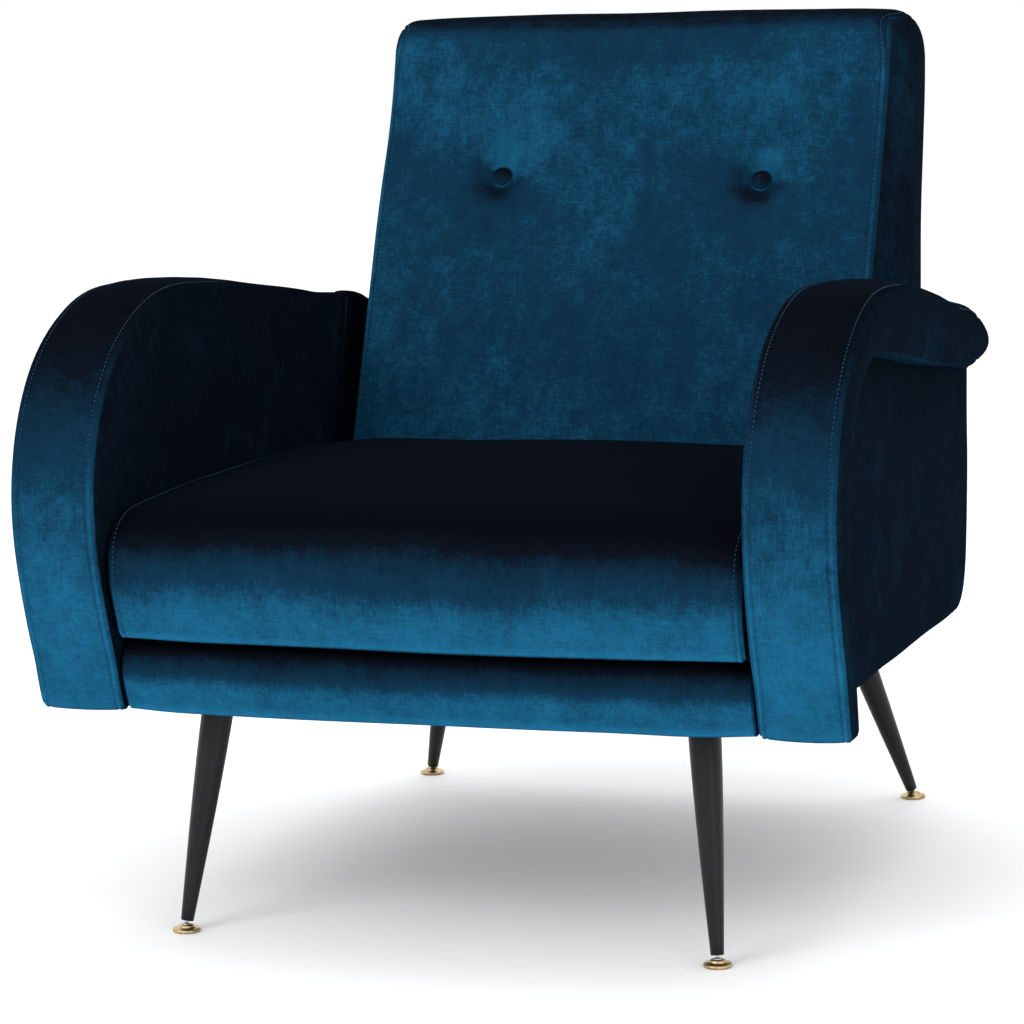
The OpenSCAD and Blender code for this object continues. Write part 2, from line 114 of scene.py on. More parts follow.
def make_studio():
    world = bpy.data.worlds.new("studio")
    bpy.context.scene.world = world
    world.use_nodes = True
    tree = world.node_tree
    tree.nodes.clear()
    out = tree.nodes.new("ShaderNodeOutputWorld")
    mix = tree.nodes.new("ShaderNodeMixShader")
    path = tree.nodes.new("ShaderNodeLightPath")
    seen = tree.nodes.new("ShaderNodeBackground")
    lit = tree.nodes.new("ShaderNodeBackground")
    seen.inputs["Color"].default_value = (1, 1, 1, 1)
    lit.inputs["Color"].default_value = (0.985, 0.99, 1, 1)
    lit.inputs["Strength"].default_value = 1.25
    tree.links.new(path.outputs["Is Camera Ray"], mix.inputs["Fac"])
    tree.links.new(lit.outputs[0], mix.inputs[1])
    tree.links.new(seen.outputs[0], mix.inputs[2])
    tree.links.new(mix.outputs[0], out.inputs["Surface"])
    centre = (0, 0, 0.45)
    area_light("key", (-1.5, -3.1, 2.5), centre, (1.8, 1.6), 45)
    area_light("fill", (2.6, -2.4, 0.9), centre, (1.6, 1.6), 12)
    area_light("top", (0.2, 0.6, 3.0), centre, (2.6, 2.2), 25)
    bpy.context.scene.view_settings.view_transform = "Standard"


# Materials ------------------------------------------------------------------------------------

class Nodes:
    """A short way to build a node material."""

    def __init__(self, name, **constants):
        self.material = bpy.data.materials.new(name)
        self.material.use_nodes = True
        self.tree = self.material.node_tree
        self.shader = self.tree.nodes["Principled BSDF"]
        self.place = self.new("ShaderNodeTexCoord").outputs["Object"]
        for socket, value in constants.items():
            self.shader.inputs[socket.replace("_", " ")].default_value = value

    def new(self, kind, **settings):
        made = self.tree.nodes.new(kind)
        for name, value in settings.items():
            setattr(made, name, value)
        return made

    def put(self, value, socket):
        if isinstance(value, bpy.types.NodeSocket):
            self.tree.links.new(value, socket)
        else:
            socket.default_value = value

    def maths(self, operation, a, b=0.0):
        made = self.new("ShaderNodeMath", operation=operation)
        self.put(a, made.inputs[0])
        self.put(b, made.inputs[1])
        return made.outputs[0]

    def dot(self, vector, direction):
        made = self.new("ShaderNodeVectorMath", operation="DOT_PRODUCT")
        self.put(vector, made.inputs[0])
        made.inputs[1].default_value = direction
        return made.outputs["Value"]

    def noise(self, scale, detail=4.0, roughness=0.55):
        """A noise from 0 to 1. scale is in cells a metre along each axis."""
        mapping = self.new("ShaderNodeMapping")
        mapping.inputs["Scale"].default_value = scale
        self.put(self.place, mapping.inputs["Vector"])
        made = self.new("ShaderNodeTexNoise")
        made.inputs["Scale"].default_value = 1
        made.inputs["Detail"].default_value = detail
        made.inputs["Roughness"].default_value = roughness
        self.put(mapping.outputs[0], made.inputs["Vector"])
        return made.outputs["Fac"]

    def around(self, value, amount):
        """A noise moved to vary around zero by amount."""
        return self.maths("MULTIPLY", self.maths("SUBTRACT", value, 0.5), amount)

    def ramp(self, value, stops):
        made = self.new("ShaderNodeValToRGB")
        line = made.color_ramp.elements
        while len(line) < len(stops):
            line.new(0.5)
        for element, (place, colour) in zip(line, stops):
            element.position = place
            element.color = (*colour, 1)
        self.put(value, made.inputs["Fac"])
        return made.outputs["Color"]

    def bump(self, height, distance, strength=1.0):
        made = self.new("ShaderNodeBump")
        made.inputs["Distance"].default_value = distance
        made.inputs["Strength"].default_value = strength
        self.put(height, made.inputs["Height"])
        self.put(made.outputs[0], self.shader.inputs["Normal"])


def velvet_painted_light_material(name, sideways, forward, down):
    """Crushed velvet. How the studio's light falls on its downward pile is painted into its colour: bright
    where it faces forwards and down, less so where it faces back, dark where it faces up. The numbers say how much
    painted light each way adds."""
    n = Nodes(name, Roughness=0.9, Specular_IOR_Level=0.0, Sheen_Weight=0.012,
              Sheen_Roughness=0.35, Sheen_Tint=(0.20, 0.60, 1.0, 1))
    normal = n.new("ShaderNodeNewGeometry").outputs["Normal"]
    # Painted light and shade: the colour follows which way the surface faces, not the lamps
    facing = n.maths("MAXIMUM", n.dot(normal, (0, -1, 0)), 0.0)
    behind = n.maths("MAXIMUM", n.dot(normal, (0, 1, 0)), 0.0)
    under = n.maths("MAXIMUM", n.dot(normal, (0, 0, -1)), 0.0)
    over = n.maths("MAXIMUM", n.dot(normal, (0, 0, 1)), 0.0)
    # painted bounce light from the floor on faces that look down and forwards, painted shade on faces that look up
    lit_under = n.maths("MULTIPLY", under, n.maths("MINIMUM", n.maths("MULTIPLY", facing, 1.6), 1.0))
    painted_up_down_light = n.maths("MULTIPLY", n.maths("SUBTRACT", lit_under, over), down)
    # the seam values add a painted highlight along seams and round the buttons' rims
    seam = n.new("ShaderNodeAttribute", attribute_name="seam").outputs["Fac"]
    patches = n.around(n.noise((14, 14, 10), 5, 0.6), 0.17)
    mottles = n.around(n.noise((60, 60, 45), 4, 0.6), 0.15)
    upright = n.around(n.noise((420, 420, 95), 3, 0.65), 0.16)
    across = n.around(n.noise((95, 95, 460), 3, 0.65), 0.14)
    grain = n.noise((1400, 1400, 1400), 2, 0.5)
    # painted light on faces that look forwards, more on faces turned towards -X by sideways; behind adds painted
    # fill light on faces that look back
    ahead = n.maths("MULTIPLY", facing, n.maths("ADD", n.dot(normal, (-sideways, 0, 0)), forward))
    value = n.maths("ADD", ahead, 0.21)
    for part in (n.maths("MULTIPLY", behind, 0.09), painted_up_down_light, n.maths("MULTIPLY", seam, 0.09),
                 patches, mottles, upright, across, n.around(grain, 0.12)):
        value = n.maths("ADD", value, part)
    # the ramp turns the painted light and shade, with the random tone of the crushed pile, into colour from
    # near-black navy to bright teal
    colour = n.ramp(value, [
        (0.02, (0.0020, 0.0024, 0.0042)), (0.22, (0.0026, 0.0048, 0.0092)),
        (0.47, (0.0040, 0.0270, 0.0560)), (0.64, (0.0085, 0.0930, 0.1850)),
        (0.90, (0.0160, 0.1750, 0.3500))])
    n.put(colour, n.shader.inputs["Base Color"])
    rough = n.maths("MULTIPLY_ADD", patches, -0.5)
    rough.node.inputs[2].default_value = 0.85
    n.put(rough, n.shader.inputs["Roughness"])
    n.bump(n.maths("ADD", grain, n.maths("ADD", upright, across)), 0.35 * MM, 0.5)
    return n.material


def thread_material():
    n = Nodes("thread", Roughness=0.6, Specular_IOR_Level=0.2)
    ply = n.noise((1800, 1800, 1800), 2)
    colour = n.ramp(ply, [(0.3, (0.003, 0.035, 0.075)), (0.7, (0.008, 0.08, 0.16))])
    n.put(colour, n.shader.inputs["Base Color"])
    n.bump(ply, 0.1 * MM)
    return n.material


def leg_material():
    """Satin black paint on steel, with faint dust and handling marks."""
    n = Nodes("black_paint", Specular_IOR_Level=0.2)
    marks = n.noise((60, 60, 25), 6, 0.65)
    n.put(n.ramp(marks, [(0.35, (0.004, 0.004, 0.005)), (0.75, (0.010, 0.010, 0.011))]),
          n.shader.inputs["Base Color"])
    rough = n.maths("MULTIPLY_ADD", marks, 0.25)
    rough.node.inputs[2].default_value = 0.28
    n.put(rough, n.shader.inputs["Roughness"])
    n.bump(n.noise((900, 900, 900), 2), 0.05 * MM, 0.5)
    return n.material


def metal_material(name, dark, light, roughness, scale):
    n = Nodes(name, Metallic=1.0)
    stain = n.noise(scale, 6, 0.65)
    n.put(n.ramp(stain, [(0.35, dark), (0.65, light)]), n.shader.inputs["Base Color"])
    rough = n.maths("MULTIPLY_ADD", stain, -0.2)
    rough.node.inputs[2].default_value = roughness + 0.1
    n.put(rough, n.shader.inputs["Roughness"])
    n.bump(n.noise((1500, 1500, 1500), 2), 0.03 * MM, 0.4)
    return n.material


def wood_material(name, dark, light):
    n = Nodes(name, Roughness=0.65)
    rings = n.noise((18, 5, 60), 6, 0.6)
    fibres = n.noise((260, 12, 500), 3, 0.6)
    value = n.maths("ADD", n.maths("MULTIPLY", rings, 0.65), n.maths("MULTIPLY", fibres, 0.35))
    n.put(n.ramp(value, [(0.35, dark), (0.65, light)]), n.shader.inputs["Base Color"])
    n.bump(fibres, 0.2 * MM, 0.4)
    return n.material


def cloth_material(name, dark, light, threads):
    """A plain weave, threads to the metre."""
    n = Nodes(name, Roughness=0.9, Sheen_Weight=0.15)
    weave = []
    for axis in ("X", "Y"):
        wave = n.new("ShaderNodeTexWave", bands_direction=axis)
        wave.inputs["Scale"].default_value = threads / 20
        wave.inputs["Distortion"].default_value = 0.4
        n.put(n.place, wave.inputs["Vector"])
        weave.append(wave.outputs["Fac"])
    height = n.maths("ADD", *weave)
    # colour darker where the weave lies low and lighter on raised threads, with random soil on top
    weave_and_soil_tone = n.maths("ADD", n.maths("MULTIPLY", height, 0.25), n.noise((30, 30, 30), 4))
    n.put(n.ramp(weave_and_soil_tone, [(0.4, dark), (0.9, light)]), n.shader.inputs["Base Color"])
    n.bump(height, 0.3 * MM, 0.6)
    return n.material


# Outlines, as [Y, Z] points -------------------------------------------------------------------

def bezier(a, b, c, d, n=30):
    """A cubic curve from a to d, without its last point. The points are in millimetres."""
    a, b, c, d = (np.array(p, float) * MM for p in (a, b, c, d))
    t = np.arange(n)[:, None] / n
    return (1 - t) ** 3 * a + 3 * (1 - t) ** 2 * t * b + 3 * (1 - t) * t ** 2 * c + t ** 3 * d


def arc(centre, radius, start, end, n=30):
    """An arc between two angles in degrees, both ends included. The sizes are in millimetres."""
    a = np.radians(np.linspace(start, end, n + 1))
    return (np.array(centre) + radius * np.column_stack([np.cos(a), np.sin(a)])) * MM


def line(*points):
    return np.array(points, float) * MM


def resample(points, step=STEP):
    """The same line with evenly spaced points."""
    s = np.r_[0, np.cumsum(np.hypot(*np.diff(points, axis=0).T))]
    at = np.linspace(0, s[-1], max(2, round(s[-1] / step)) + 1)
    return np.column_stack([np.interp(at, s, points[:, k]) for k in (0, 1)])


def outward(path, closed=False):
    """Unit normals to the left of an outline's direction of travel, which is its outside."""
    along = np.roll(path, -1, 0) - np.roll(path, 1, 0) if closed else np.gradient(path, axis=0)
    along /= np.linalg.norm(along, axis=1)[:, None]
    return np.column_stack([-along[:, 1], along[:, 0]])


def eased(value, low, high):
    t = np.clip((np.asarray(value) - low) / (high - low), 0, 1)
    return t * t * (3 - 2 * t)


def rounded(d, r):
    """How far a surface lies below its flat level at distance d from an edge rounded to radius r."""
    d = np.minimum(d, r)
    return np.sqrt(np.maximum(r * r - (r - d) ** 2, 0)) - r


def seam_inset(r):
    """How far a seam lies in from the square corner of an edge rounded to radius r."""
    return 0.293 * r + GROOVE


# Skins ----------------------------------------------------------------------------------------

class Skin:
    """Collects the surfaces of one piece."""

    def __init__(self):
        self.verts, self.faces, self.seams = [], [], []

    def add(self, verts, faces, seams=None):
        """seams is 1 on a seam and falls to 0 away from it; the velvet paints a highlight by these values."""
        base = len(self.verts)
        self.verts += [tuple(v) for v in verts]
        self.faces += [tuple(base + i for i in f) for f in faces]
        self.seams += [0.0] * len(verts) if seams is None else list(seams)

    def grid(self, rows, closed=False, seams=None):
        n, m = len(rows), len(rows[0])
        last = n if closed else n - 1
        self.add([v for row in rows for v in row],
                 [(i * m + j, i * m + j + 1, (i + 1) % n * m + j + 1, (i + 1) % n * m + j)
                  for i in range(last) for j in range(m - 1)], seams)

    def piece(self, name, material, weld=0.25 * MM):
        mesh = bpy.data.meshes.new(name)
        mesh.from_pydata(self.verts, [], self.faces)
        mesh.attributes.new("seam", "FLOAT", "POINT").data.foreach_set("value", self.seams)
        bm = bmesh.new()
        bm.from_mesh(mesh)
        bmesh.ops.remove_doubles(bm, verts=bm.verts, dist=weld)
        bmesh.ops.dissolve_degenerate(bm, edges=bm.edges, dist=0.01 * MM)
        bmesh.ops.recalc_face_normals(bm, faces=bm.faces)
        bm.to_mesh(mesh)
        bm.free()
        mesh.shade_smooth()
        mesh.materials.append(material)
        made = bpy.data.objects.new(name, mesh)
        bpy.context.scene.collection.objects.link(made)
        return made


def across(widths, step):
    """For each half width of a band, distances from its edge to its middle: close together at the
    seam and the topstitch. Every row has the same number."""
    near = [d * MM for d in (0.7, 1.5, 2.5, 3.4, 3.9, 4.4, 4.9, 5.5, 7, 9, 12, 16)]
    near = [d for d in near if d < widths.min() - 1 * MM]
    count = max(2, round((widths.max() - near[-1]) / step))
    return [np.r_[near, np.linspace(near[-1], half, count + 1)[1:]] for half in widths]


def band(skin, path, normal, x0, x1, r0, r1, crown, spread, step=9 * MM, stitched=(1, 1), closed=False):
    """A padded strip along path from x0 to x1. r0 and r1 round its two edges; crown is its swelling,
    reached at about spread from the edges. Returns the lines of the two topstitches."""
    count = len(path)
    x0, x1, r0, r1, crown = (np.broadcast_to(v, count) for v in (x0, x1, r0, r1, crown))
    rows, seams, stitches = [], [], ([], [])
    spaced = across(np.abs(x1 - x0) / 2 - (seam_inset(r0) + seam_inset(r1)) / 2, step)
    for i, beyond in enumerate(spaced):
        q = (seam_inset(r0[i]), seam_inset(r1[i]))
        ahead = 1 if x1[i] > x0[i] else -1
        middle = (x0[i] + ahead * q[0] + x1[i] - ahead * q[1]) / 2
        halves = []
        for k, (x, way, r) in enumerate(((x0[i], ahead, r0[i]), (x1[i], -ahead, r1[i]))):
            d = q[k] + beyond
            off = rounded(d, r) + crown[i] * (1 - np.exp(-(beyond / spread) ** 1.6))
            if stitched[k]:
                off = off - 0.7 * MM * np.exp(-((beyond - STITCH_IN) / (0.9 * MM)) ** 2)
            # glow marks the seam and gives the painted highlight beside it
            glow = np.r_[1, np.exp(-(beyond / PAINTED_SEAM_HIGHLIGHT_WIDTH) ** 2)] * stitched[k]
            halves.append(list(zip(np.r_[x + way * q[k], x + way * d], np.r_[-q[k], off], glow)))
            at = (x + way * (q[k] + STITCH_IN), np.interp(STITCH_IN, beyond, off))
            stitches[k].append((at[0], *(path[i] + normal[i] * at[1])))
        section = halves[0] + halves[1][-2::-1]
        rows.append([(x, *(path[i] + normal[i] * o)) for x, o, _ in section])
        seams += [glow for _, _, glow in section]
    skin.grid(rows, closed, seams)
    return stitches


def panel(skin, loop, normal, x_face, side, radius, bulge, spread, step=10 * MM, glow=1):
    """A padded face at x_face, looking towards side, inside the closed outline loop. x_face is a
    number, or a function of the points. glow scales the painted highlight along the face's edge and is 0 where the
    edge shows no seam."""
    q = seam_inset(radius)
    rim = loop - normal * q[:, None]
    rings = [rim]
    for beyond in (0.7, 1.6, 2.8, 4.5, 7, 11, 16):
        e = q + beyond * MM
        ring = loop - normal * e[:, None]
        rings.append(ring[nearest(ring, loop)[0] > e * 0.96])
    low, high = loop.min(0), loop.max(0)
    ys, zs = np.arange(low[0], high[0], step), np.arange(low[1], high[1], step)
    mesh = np.array([(y + (k % 2) * step / 2, z) for k, z in enumerate(zs) for y in ys])
    d, near = nearest(mesh, loop)
    mesh = mesh[inside(mesh, loop) & (d > q[near] + 16 * MM + step * 0.5)]
    points = np.vstack(rings + [mesh])
    count = len(rim)
    keep = np.r_[np.ones(count, bool), inside(points[count:], loop)]
    points = points[keep]
    edges = [(i, (i + 1) % count) for i in range(count)]
    flat_points = [Vector(p) for p in points]
    verts, _, faces, origin, _, _ = delaunay_2d_cdt(flat_points, edges, [], 1, 1e-7)
    at = np.array([tuple(v) for v in verts])
    d, near = nearest(at, loop)
    r = radius[near]
    off = rounded(d, r) + bulge * (1 - np.exp(-(np.maximum(d - q[near], 0) / spread) ** 1.3))
    on_rim = np.array([any(k < count for k in o) for o in origin])
    off[on_rim] = -q[near][on_rim]
    level = np.broadcast_to(x_face(at) if callable(x_face) else x_face, len(at))
    # the seam values, which also give the painted highlight beside the rim
    seams = np.exp(-((d - q[near]) / PAINTED_SEAM_HIGHLIGHT_WIDTH) ** 2)
    seams[on_rim] = 1
    skin.add([(x + side * o, y, z) for x, o, (y, z) in zip(level, off, at)], faces, seams * glow)


def nearest(points, loop):
    """Distance from each point to a closed outline, and the index of the nearest corner."""
    a, b = loop, np.roll(loop, -1, 0)
    ab = b - a
    best = np.full(len(points), 1e9)
    index = np.zeros(len(points), int)
    for start in range(0, len(points), 500):
        p = points[start:start + 500, None, :]
        t = np.clip(((p - a) * ab).sum(2) / np.maximum((ab * ab).sum(1), 1e-12), 0, 1)
        d = np.linalg.norm(p - (a + t[..., None] * ab), axis=2)
        k = d.argmin(1)
        best[start:start + 500] = d[np.arange(len(k)), k]
        index[start:start + 500] = (k + (t[np.arange(len(k)), k] > 0.5)) % len(loop)
    return best, index


def inside(points, loop):
    """Whether each point is inside a closed outline."""
    a, b = loop, np.roll(loop, -1, 0)
    y, z = points[:, 0][:, None], points[:, 1][:, None]
    crosses = (a[:, 1] > z) != (b[:, 1] > z)
    with np.errstate(divide="ignore", invalid="ignore"):
        at = a[:, 0] + (z - a[:, 1]) * (b[:, 0] - a[:, 0]) / (b[:, 1] - a[:, 1])
    return ((crosses & (y < at)).sum(1) % 2) == 1


VOXEL = 9 * MM              # size of the coarse copy's faces
PINNED = 8 * MM             # how near a seam the cloth is pinned
SMOOTHED = 14 * MM          # reach over which the copy's movement is averaged
NEIGHBOURS = 24
LAST_FRAME = 20


def swell(piece, pressure, cap, held):
    """Runs a cloth simulation under pressure on a coarse copy of a padded piece, pinned along its
    seams and wherever held says so, and moves the piece the same way, by cap at most."""
    mesh = piece.data
    places = [v.co.copy() for v in mesh.vertices]
    seams = [d.value for d in mesh.attributes["seam"].data]
    copy = bpy.data.objects.new("coarse", mesh.copy())
    bpy.context.scene.collection.objects.link(copy)
    remesh = copy.modifiers.new("remesh", "REMESH")
    remesh.mode = "VOXEL"
    remesh.voxel_size = VOXEL
    coarse = bpy.data.meshes.new_from_object(copy.evaluated_get(bpy.context.evaluated_depsgraph_get()))
    copy.modifiers.clear()
    copy.data = coarse
    rest = [v.co.copy() for v in coarse.vertices]
    sewn = KDTree(len(places))
    for k, place in enumerate(places):
        if seams[k] > 0.95:
            sewn.insert(place, k)
    sewn.balance()
    pins = copy.vertex_groups.new(name="pins")
    pins.add([k for k, p in enumerate(rest) if sewn.find(p)[2] < PINNED or held(p)], 1, "REPLACE")
    cloth = copy.modifiers.new("cloth", "CLOTH")
    cloth.settings.vertex_group_mass = "pins"
    cloth.settings.mass = 0.25
    cloth.settings.tension_stiffness = cloth.settings.compression_stiffness = 8
    cloth.settings.use_pressure = True
    cloth.settings.uniform_pressure_force = pressure
    cloth.settings.effector_weights.gravity = 0
    for moment in range(1, LAST_FRAME + 1):
        bpy.context.scene.frame_set(moment)
    swollen = copy.evaluated_get(bpy.context.evaluated_depsgraph_get()).data
    moves = []
    for a, v in zip(rest, swollen.vertices):
        move = v.co - a
        moves.append(move * min(1, cap / max(move.length, 1e-9)))
    bpy.context.scene.frame_set(1)
    bpy.data.objects.remove(copy)
    tree = KDTree(len(rest))
    for k, place in enumerate(rest):
        tree.insert(place, k)
    tree.balance()
    for v, seam in zip(mesh.vertices, seams):
        total, weight = Vector((0, 0, 0)), 1e-9
        for _, k, far in tree.find_n(v.co, NEIGHBOURS):
            w = math.exp(-(far / SMOOTHED) ** 2)
            total += moves[k] * w
            weight += w
        v.co += total / weight * (1 - seam)
    mesh.update()
    print(piece.name, "swelled by up to", round(max(m.length for m in moves) / MM, 1), "mm")


def soften(piece, amount, size, seed):
    """Moves the surface in and out a little, as foam under cloth does."""
    shift = Vector((seed * 3.7, seed * 1.3, seed * 5.1))
    mesh = piece.data
    normals = [v.normal.copy() for v in mesh.vertices]
    for v, n in zip(mesh.vertices, normals):
        v.co += n * amount * noise.noise(v.co / size + shift)
    mesh.update()


def sew(name, lines, surface, thread, pitch=4.6 * MM, length=3.2 * MM, radius=0.42 * MM):
    """A row of stitches along each line, laid on the surface."""
    tree = BVHTree.FromObject(surface, bpy.context.evaluated_depsgraph_get())
    skin = Skin()
    for path in lines:
        path = np.array(path, float)
        s = np.r_[0, np.cumsum(np.linalg.norm(np.diff(path, axis=0), axis=1))]
        for start in np.arange(0, s[-1] - length, pitch):
            ends = [Vector([np.interp(at, s, path[:, j]) for j in range(3)])
                    for at in (start, start + length)]
            found = [tree.find_nearest(p) for p in ends]
            up = (found[0][1] + found[1][1]).normalized()
            a, b = (f[0] for f in found)
            if (b - a).length < length * 0.5:
                continue
            run = (b - a).normalized()
            side = run.cross(up).normalized()
            ring = [side * radius, up * radius * 0.9, -side * radius, -up * radius]
            lift = up * radius * 0.35
            verts = [a - up * radius * 0.5]
            verts += [a + run * length * 0.22 + lift + r for r in ring]
            verts += [b - run * length * 0.22 + lift + r for r in ring]
            verts += [b - up * radius * 0.5]
            faces = [(0, 1 + (k + 1) % 4, 1 + k) for k in range(4)]
            faces += [(1 + k, 1 + (k + 1) % 4, 5 + (k + 1) % 4, 5 + k) for k in range(4)]
            faces += [(9, 5 + k, 5 + (k + 1) % 4) for k in range(4)]
            skin.add(verts, faces)
    made = skin.piece(name, thread, weld=1e-7)
    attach(made, "chair")
    return made


def finish_piece(piece, *stands_for, body="chair", slot="velvet", fill=None):
    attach(piece, body)
    if stands_for:
        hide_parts(*stands_for)
    return piece


# The arms -------------------------------------------------------------------------------------

skirt_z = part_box("arm_band_right")[0].z - HEM_DROP
panel_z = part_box("side_cover_right")[0].z
front_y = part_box("arm_band_right")[0].y / MM
NOSE, NOSE_R = (216, 508.5), 36.5
TOP_FALL, UNDER_FALL = 7, 7
PANEL_REAR = 246
NOSE_CUT = -math.degrees(math.acos((PANEL_REAR - NOSE[0]) / NOSE_R))
PANEL_R = 5 * MM            # rounding of the side panel's edges
DROOP = 0.19                # how steeply the armrest's top slopes outwards at its rear end


def arm_outlines():
    """The arm's curves: up the front and over the top, round the rear end to the side panel, on
    round to the recess, the recess's wall, and the side panel's free edges."""
    top_fall, under_fall = math.radians(TOP_FALL), math.radians(UNDER_FALL)
    nose_top = np.array(NOSE) + NOSE_R * np.array([math.sin(top_fall), math.cos(top_fall)])
    nose_bottom = np.array(NOSE) - NOSE_R * np.array([math.sin(under_fall), math.cos(under_fall)])
    under_front = nose_bottom - 440 * np.array([math.cos(under_fall), -math.sin(under_fall)])
    shoulder = (-209, 586)
    low = skirt_z / MM
    before_nose = nose_top - 110 * np.array([math.cos(top_fall), -math.sin(top_fall)])
    front_top = np.vstack([
        line((-344, low), (-352, low)),
        bezier((-352, low), (-357, low), (-360, low + 4), (-362, low + 9), 6),
        bezier((-362, low + 9), (-382, 268), (front_y, 332), (front_y, 400)),
        bezier((front_y, 400), (front_y, 500), (-330, 582), shoulder),
        bezier(shoulder, (-99, 591), before_nose, nose_top, 40),
        arc(NOSE, NOSE_R, 90 - TOP_FALL, NOSE_CUT)])
    nose_end = arc(NOSE, NOSE_R, NOSE_CUT, -90 - UNDER_FALL)
    wall = np.vstack([
        line(nose_bottom),
        bezier(under_front, (-305, 538), (-357, 480), (-357, 385)),
        bezier((-357, 385), (-357, 310), (-332, 262), (-326, low + 6)),
        line((-325, low + 2), (-329, low), (-344, low))])
    low_panel = panel_z / MM
    edge = np.vstack([
        line((PANEL_REAR, NOSE[1] + NOSE_R * math.sin(math.radians(NOSE_CUT))), (PANEL_REAR, 330)),
        bezier((PANEL_REAR, 330), (PANEL_REAR, 262), (222, low_panel), (186, low_panel)),
        line((186, low_panel), (-318, low_panel))])
    return {"front_top": resample(front_top), "nose_end": resample(nose_end),
            "wall": resample(wall), "edge": resample(edge)}


def arm_radius(path, share=1.0):
    """Edge rounding: small along the seams, larger round the armrest's rear end by share."""
    nose = eased(path[:, 0], 0.06, 0.235) * (path[:, 1] > 0.455)
    return VELVET_SEAM_R + share * 22 * MM * nose


def drooped(points):
    """The points, with the armrest's top lowered towards its outer edge as it runs back."""
    points = np.array(points, float)
    x, y, z = points.T
    beyond = np.abs(x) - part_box("arm_band_right")[0].x
    points[:, 2] -= DROOP * beyond * eased(y, -0.20, 0.20) * eased(z, 0.478, 0.53)
    return points


def make_arm(name, side, velvet, thread):
    low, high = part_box("arm_band_right")
    x_in, x_out = side * low.x, side * high.x
    x_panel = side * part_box("side_cover_right")[1].x
    o = arm_outlines()
    skin = Skin()
    top, nose_end, wall, edge = o["front_top"], o["nose_end"], o["wall"], o["edge"]
    rise = eased(top[:, 1], 0.215, 0.26) * (1 - eased(top[:, 0], 0.13, 0.22) * (top[:, 1] > 0.455))
    crown = (1.5 + 3.5 * rise) * MM
    top = top - outward(top) * (4 * MM * rise)[:, None]
    inner_r = arm_radius(top, 0.2)
    seams = band(skin, top, outward(top), x_in, x_out, inner_r, arm_radius(top), crown, 16 * MM)
    # The recess's wall, and the lower half of the armrest's rear end
    wall_path = np.vstack([nose_end[:-1], wall])
    wall_in = x_panel - side * PANEL_R
    band(skin, wall_path, outward(wall_path), wall_in, x_out, CRISP, arm_radius(wall_path), 1.0 * MM,
         10 * MM, stitched=(0, 0))
    # The side panel's rear and bottom edges, and the back of the front limb below them
    foot = resample(line((-318, panel_z / MM), (-322, panel_z / MM - 3), (-325, skirt_z / MM + 2)), 3 * MM)
    edge_path = np.vstack([edge, foot[1:]])
    band(skin, edge_path, outward(edge_path), x_in, x_panel, PANEL_R, PANEL_R, 1.5 * MM, 16 * MM,
         stitched=(0, 0))
    # The three faces
    hook_loop = np.vstack([top[:-1], nose_end[:-1], wall[:-1]])
    panel(skin, hook_loop, outward(hook_loop, True), x_out, side, arm_radius(hook_loop), 4.0 * MM, 14 * MM)
    tail = resample(line((-325, skirt_z / MM + 2), (-329, skirt_z / MM), (-344, skirt_z / MM)), 4 * MM)
    inner_loop = np.vstack([top[:-1], edge_path[:-1], tail[:-1]])
    inner_r = np.r_[inner_r[:-1], np.full(len(edge_path) - 1, PANEL_R),
                    np.full(len(tail) - 1, VELVET_SEAM_R)]
    panel(skin, inner_loop, outward(inner_loop, True), x_in, -side, inner_r, 2.0 * MM, 22 * MM)
    behind = wall_path - outward(wall_path) * PANEL_R
    behind = behind[behind[:, 1] > panel_z - 6 * MM]
    side_loop = np.vstack([behind, edge[::-1][:-1]])[::-1]
    side_r = np.full(len(side_loop), PANEL_R)
    panel(skin, side_loop, outward(side_loop, True), x_panel, side, side_r, 3.0 * MM, 25 * MM, glow=0)
    skin.verts = [tuple(v) for v in drooped(skin.verts)]
    seams = [drooped(seam) for seam in seams]
    made = skin.piece("arm_" + name, velvet)
    soften(made, 1.1 * MM, 90 * MM, side + 2)
    finish_piece(made, *(part + "_" + name for part in (
        "arm_band", "arm_frame", "arm_foam", "hook_foam", "arm_inner_cover", "arm_outer_cover",
        "side_cover", "side_pad")), fill=0.9)
    sew("arm_" + name + "_stitches", seams, made, thread)
    return made


BOARD_IN, FRAME_IN = 295, 271           # inner faces beside the seat and under it, in mm from the middle
BOARD_OUT, FRAME_OUT = 315.5, 298.5


